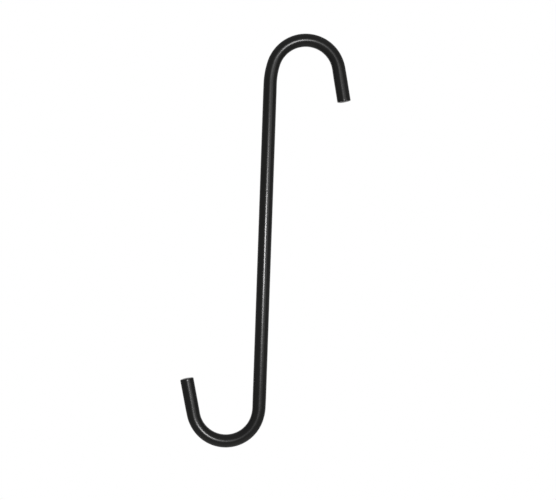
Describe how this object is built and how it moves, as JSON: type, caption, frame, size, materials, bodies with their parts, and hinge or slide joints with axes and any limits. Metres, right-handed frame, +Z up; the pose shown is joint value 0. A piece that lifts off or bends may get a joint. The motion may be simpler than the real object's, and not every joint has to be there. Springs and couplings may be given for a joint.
{
  "type": "s hook",
  "caption": "Long-shank S hook bent from round steel rod and painted black, with an open hook at each end for hanging a load from a rail, eye or chain.",
  "frame": {"origin": "upper seat: the highest point of the inside of the upper bend, where the hook hangs on a rail", "axes": "+Z up along the straight shank, +X from the shank towards the upper leg, Y across the flat plane of the hook"},
  "size_m": [0.0783, 0.0066, 0.2032],
  "materials": {
    "black_paint": "semi-gloss black enamel over smooth drawn rod"
  },
  "bodies": {
    "root": {"s_hook": "black_paint"}
  },
  "joints": []
}
